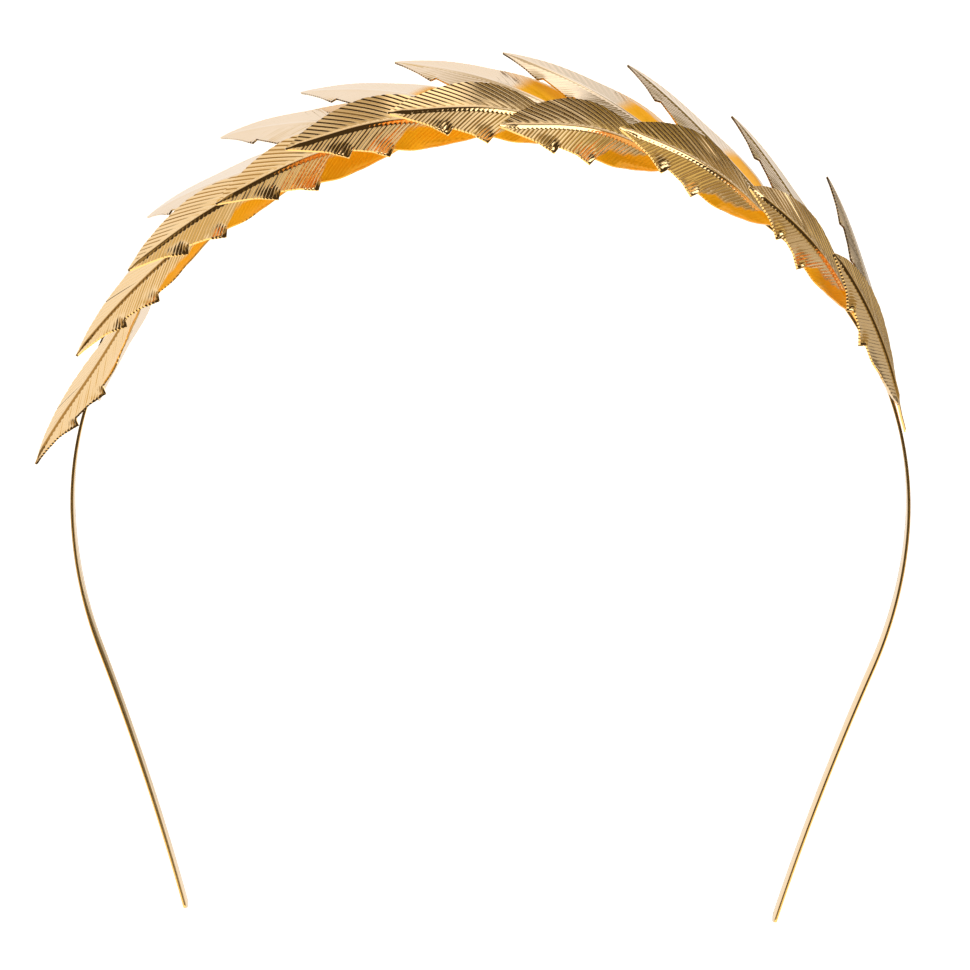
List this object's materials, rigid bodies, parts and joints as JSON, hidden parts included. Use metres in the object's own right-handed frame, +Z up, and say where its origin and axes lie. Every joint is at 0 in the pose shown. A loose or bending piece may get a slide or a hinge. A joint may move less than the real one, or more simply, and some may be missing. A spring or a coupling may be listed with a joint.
{
  "type": "laurel wreath crown",
  "caption": "Open laurel wreath crown: a flat gold metal band bent to an arch, carrying two rows of overlapping stamped leaves that all point one way round it.",
  "frame": {"origin": "centre of the crown in plan, at the level of the back leaves' lowest edges, which it rests on", "axes": "+Z up from the surface it lies on, square to the plane of the arch; +Y to the top of the arch; +X to the right leg as seen from above"},
  "size_m": [0.1436, 0.1584, 0.0454],
  "materials": {
    "band_gold": "polished, gold plated",
    "front_leaf_gold": "polished, gold plated",
    "back_leaf_gold": "polished, gold plated"
  },
  "bodies": {
    "root": {"band": "band_gold", "front_leaf_01": "front_leaf_gold", "front_leaf_02": "front_leaf_gold", "front_leaf_03": "front_leaf_gold", "front_leaf_04": "front_leaf_gold", "front_leaf_05": "front_leaf_gold", "front_leaf_06": "front_leaf_gold", "front_leaf_07": "front_leaf_gold", "front_leaf_08": "front_leaf_gold", "front_leaf_09": "front_leaf_gold", "front_leaf_10": "front_leaf_gold", "back_leaf_01": "back_leaf_gold", "back_leaf_02": "back_leaf_gold", "back_leaf_03": "back_leaf_gold", "back_leaf_04": "back_leaf_gold", "back_leaf_05": "back_leaf_gold", "back_leaf_06": "back_leaf_gold", "back_leaf_07": "back_leaf_gold", "back_leaf_08": "back_leaf_gold", "back_leaf_09": "back_leaf_gold", "back_leaf_10": "back_leaf_gold"}
  },
  "joints": []
}
